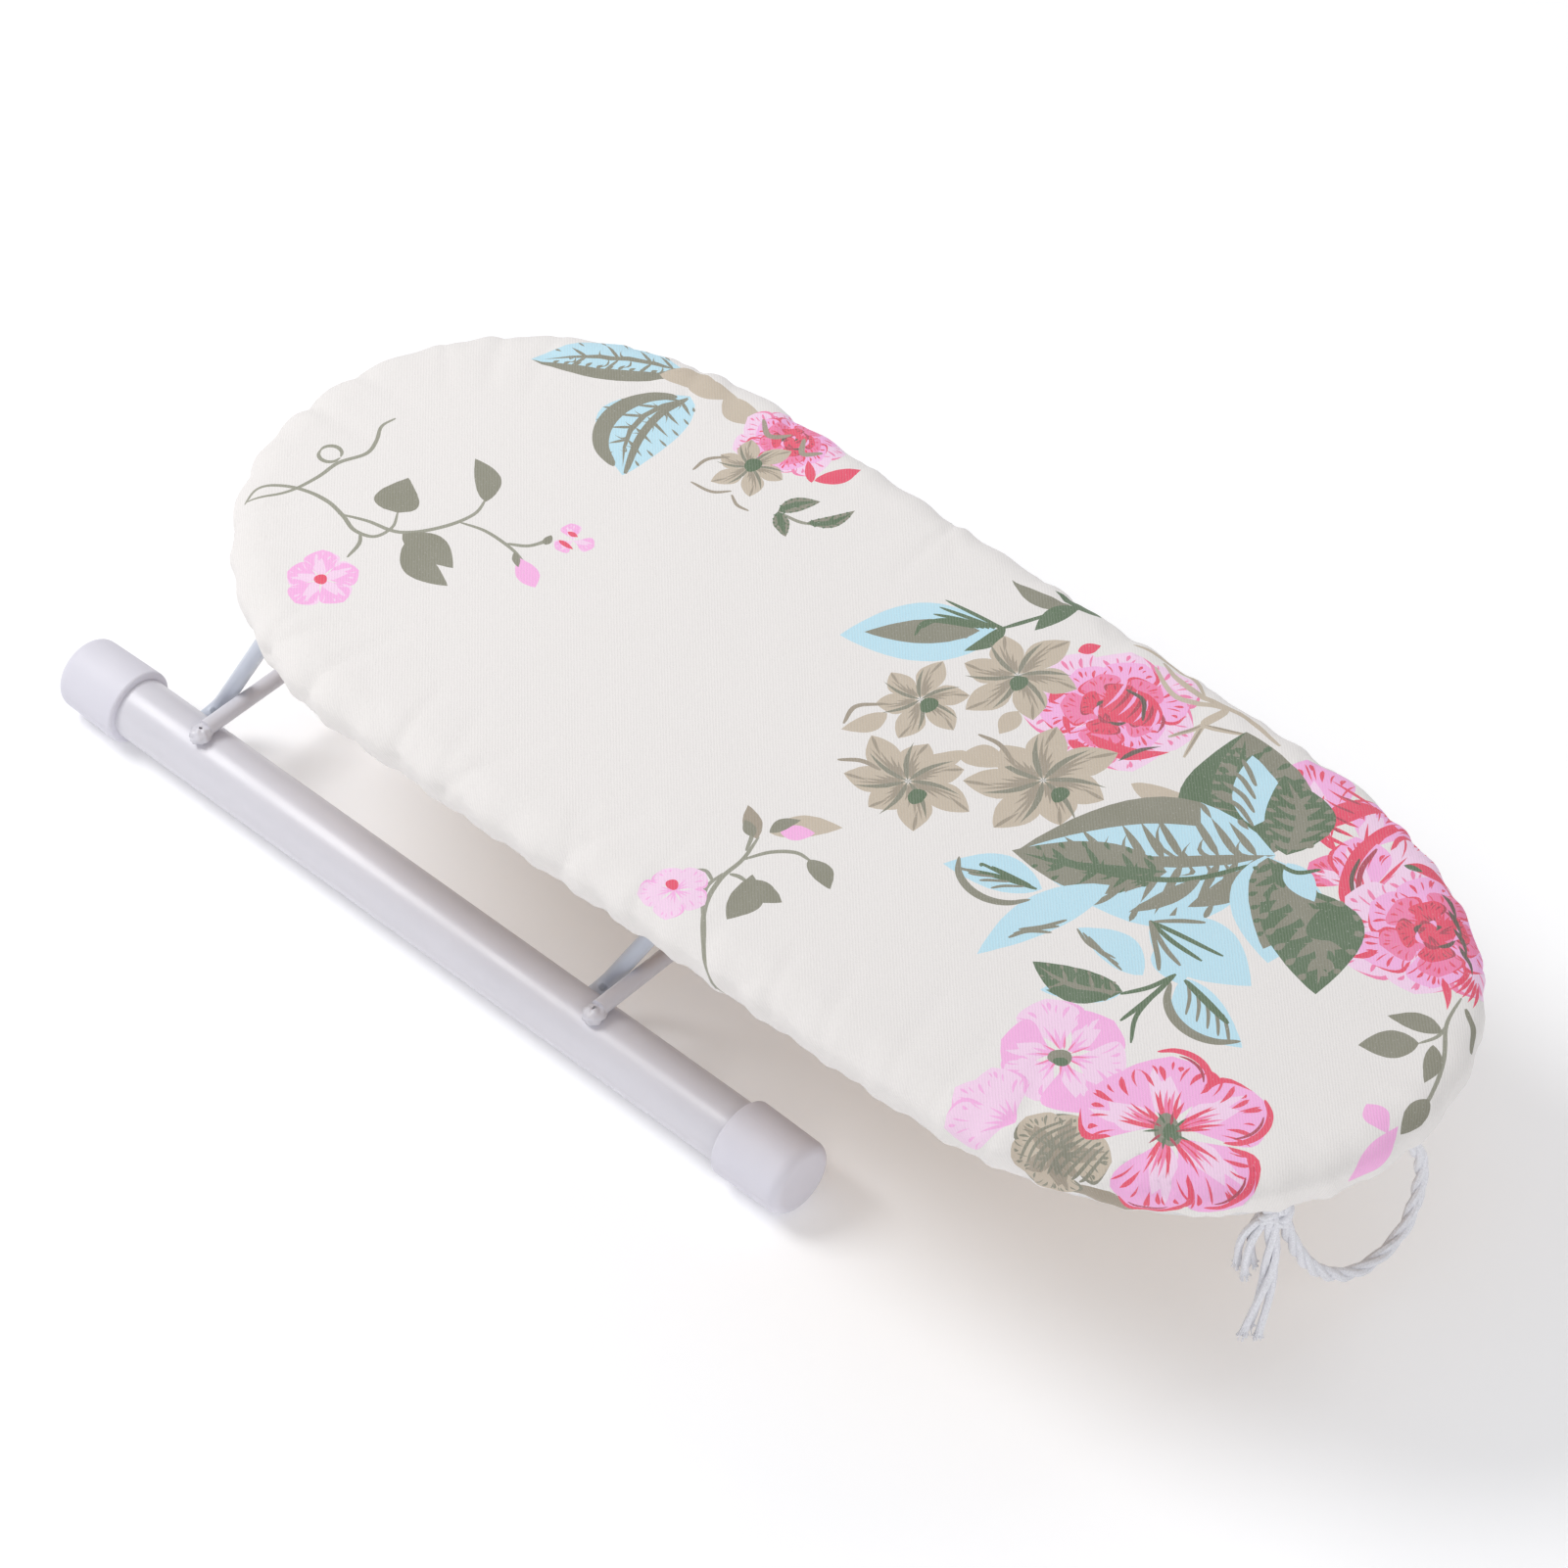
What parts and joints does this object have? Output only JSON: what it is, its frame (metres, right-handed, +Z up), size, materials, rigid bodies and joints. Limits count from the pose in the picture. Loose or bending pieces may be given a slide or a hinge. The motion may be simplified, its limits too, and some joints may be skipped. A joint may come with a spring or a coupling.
{
  "type": "folding sleeve ironing board",
  "caption": "Table-top sleeve ironing board: padded board with a gathered cotton cover on wire legs that fold flat between foot tubes with end caps.",
  "frame": {"origin": "on the table, at the middle of the object's footprint", "axes": "+X towards the nose end of the board, +Y to the left of it, +Z up"},
  "size_m": [0.432, 0.1724, 0.0929],
  "materials": {
    "coated_steel": "satin powder coat",
    "cap_plastic": "matte moulded",
    "zinc_sheet": "zinc plated",
    "panel_board": "bare board",
    "foam": "soft foam",
    "printed_cotton": "plain weave with a flower print",
    "hem_tape": "folded cotton hem",
    "cotton_cord": "twisted cotton"
  },
  "bodies": {
    "base": {"foot_tube_left": "coated_steel", "foot_tube_right": "coated_steel", "foot_cap_left_nose": "cap_plastic", "foot_cap_left_heel": "cap_plastic", "foot_cap_right_nose": "cap_plastic", "foot_cap_right_heel": "cap_plastic", "cross_rod_nose": "coated_steel", "cross_rod_heel": "coated_steel", "weld_left_nose": "coated_steel", "weld_left_heel": "coated_steel", "weld_right_nose": "coated_steel", "weld_right_heel": "coated_steel"},
    "nose_leg": {"leg_nose": "coated_steel"},
    "heel_leg": {"leg_heel": "coated_steel"},
    "board": {"board_panel": "panel_board", "foam_pad": "foam", "cover": "printed_cotton", "hem_channel": "hem_tape", "drawstring_in_hem": "cotton_cord", "clip_left_nose": "zinc_sheet", "clip_left_heel": "zinc_sheet", "clip_right_nose": "zinc_sheet", "clip_right_heel": "zinc_sheet", "clip_screws": "zinc_sheet", "drawstring_loop": "cotton_cord", "drawstring_tail_long": "cotton_cord", "drawstring_tail_short": "cotton_cord", "drawstring_knot": "cotton_cord"}
  },
  "joints": [
    {"name": "fold", "type": "hinge", "parent": "base", "child": "nose_leg", "pos_m": [-0.01855, 0, 0.0117], "axis": [0, -1, 0], "range_deg": [0, 103]},
    {"name": "heel_leg_fold", "type": "hinge", "parent": "base", "child": "heel_leg", "pos_m": [-0.17555, 0, 0.0117], "axis": [0, -1, 0], "range_deg": [0, 103]},
    {"name": "board_level", "type": "hinge", "parent": "nose_leg", "child": "board", "pos_m": [0.01647, 0, 0.0762], "axis": [0, -1, 0], "range_deg": [-103, 0]}
  ],
  "couplings": [
    {"joint": "heel_leg_fold", "follows": "fold", "ratio": 1},
    {"joint": "board_level", "follows": "fold", "ratio": -1}
  ]
}
